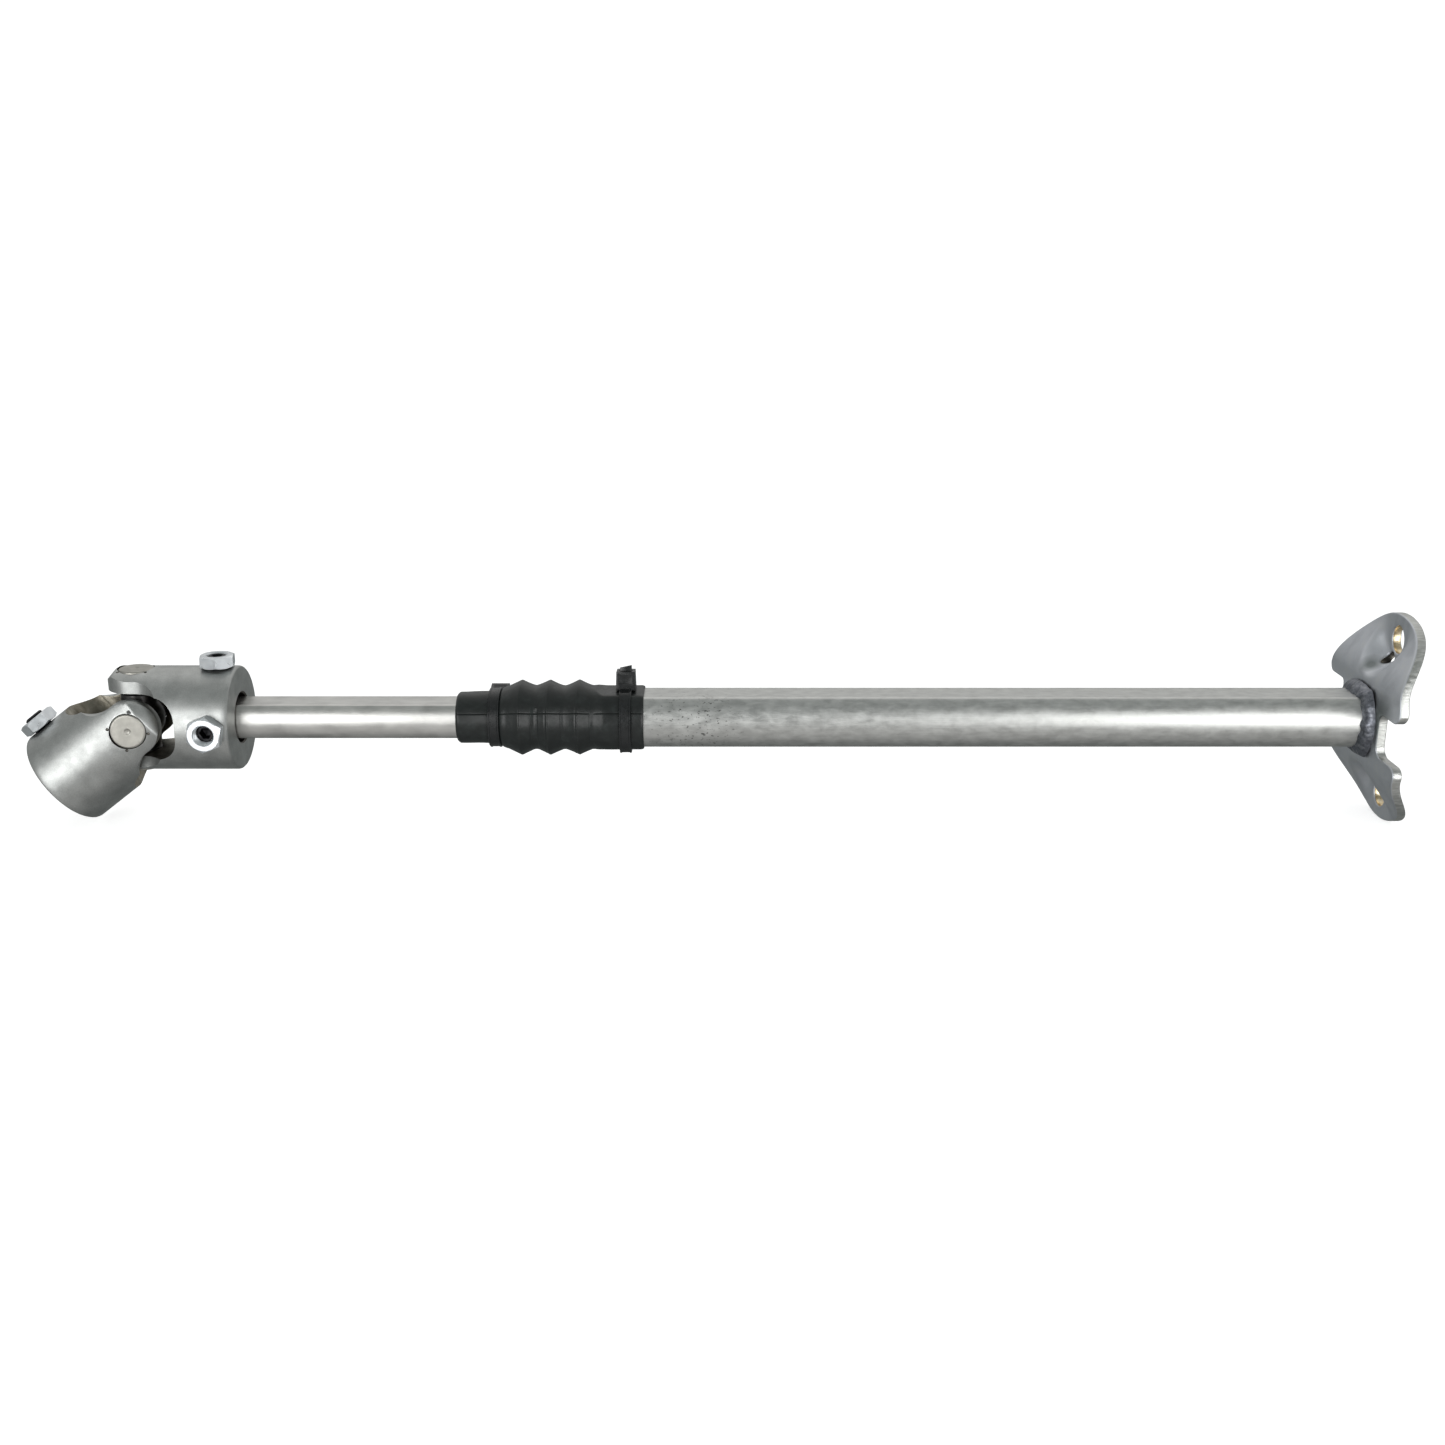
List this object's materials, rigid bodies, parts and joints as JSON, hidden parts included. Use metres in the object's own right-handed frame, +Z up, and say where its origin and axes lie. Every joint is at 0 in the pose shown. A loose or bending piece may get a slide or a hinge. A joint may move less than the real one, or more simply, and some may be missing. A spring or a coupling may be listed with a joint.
{
  "type": "universal joint shaft",
  "caption": "Telescoping double-D steering shaft with a needle-bearing universal joint at one end, a rubber dust boot over the sliding joint, and a pressed bolt-on flange at the other.",
  "frame": {"origin": "centre of the flange's outer bolting face, on the shaft's axis", "axes": "+X along the shaft's axis from the universal joint out through the flange, +Z up through the flange's upper bolt ear and along the shaft yoke's bearing pins"},
  "size_m": [0.5472, 0.0726, 0.0836],
  "materials": {
    "blasted_steel": "bead-blasted bare steel",
    "oiled_steel": "dark oiled forging",
    "ground_steel": "ground bearing steel",
    "bearing_steel": "polished bearing steel",
    "seal_rubber": "matt black",
    "black_oxide": "black oxide",
    "zinc_plate": "bright zinc plate",
    "drawn_steel": "cold drawn bare steel",
    "drawn_tube_steel": "cold drawn bare steel",
    "boot_rubber": "satin black moulded rubber",
    "black_nylon": "black nylon",
    "pressed_steel": "pressed plate, blue-grey",
    "weld_metal": "as-welded bead"
  },
  "bodies": {
    "tube_side": {"outer_tube": "drawn_tube_steel", "flange_weld": "weld_metal", "column_flange": "pressed_steel", "cable_tie_large": "black_nylon", "dust_boot": "boot_rubber"},
    "shaft_side": {"inner_shaft": "drawn_steel", "shaft_yoke": "blasted_steel", "set_screw_top": "black_oxide", "set_screw_front": "black_oxide", "jam_nut_top": "zinc_plate", "jam_nut_front": "zinc_plate", "bearing_cup_top": "ground_steel", "bearing_cup_bottom": "ground_steel", "cable_tie_small": "black_nylon"},
    "cross": {"cross": "oiled_steel", "cross_seal_top": "seal_rubber", "cross_seal_bottom": "seal_rubber", "cross_seal_front": "seal_rubber", "cross_seal_back": "seal_rubber"},
    "box_side": {"box_yoke": "blasted_steel", "bearing_cup_front": "ground_steel", "bearing_cup_back": "ground_steel", "set_screw_box": "black_oxide", "jam_nut_box": "zinc_plate"},
    "needles_vertical": {"needle_ring_top": "bearing_steel", "needle_ring_bottom": "bearing_steel"},
    "needles_horizontal": {"needle_ring_front": "bearing_steel", "needle_ring_back": "bearing_steel"}
  },
  "joints": [
    {"name": "telescope", "type": "slide", "parent": "tube_side", "child": "shaft_side", "axis": [1, 0, 0], "range_m": [-0.012, 0.02], "deforming": ["dust_boot"]},
    {"name": "cross_swing", "type": "hinge", "parent": "shaft_side", "child": "cross", "pos_m": [-0.4887, 0, 0], "axis": [0, 0, 1], "range_deg": [-17.75, 9.25]},
    {"name": "yoke_swing", "type": "hinge", "parent": "cross", "child": "box_side", "pos_m": [-0.4887, 0, 0], "axis": [-0.0741, 0.9973, 0], "range_deg": [0, 74.5]},
    {"name": "needle_orbit_vertical", "type": "hinge", "parent": "shaft_side", "child": "needles_vertical", "pos_m": [-0.4887, 0, 0], "axis": [0, 0, 1], "range_deg": [-9, 9]},
    {"name": "needle_orbit_horizontal", "type": "hinge", "parent": "cross", "child": "needles_horizontal", "pos_m": [-0.4887, 0, 0], "axis": [-0.0741, 0.9973, 0], "range_deg": [-1, 45]}
  ],
  "couplings": [
    {"joint": "needle_orbit_vertical", "follows": "cross_swing", "ratio": 0.402},
    {"joint": "needle_orbit_horizontal", "follows": "yoke_swing", "ratio": 0.598}
  ]
}
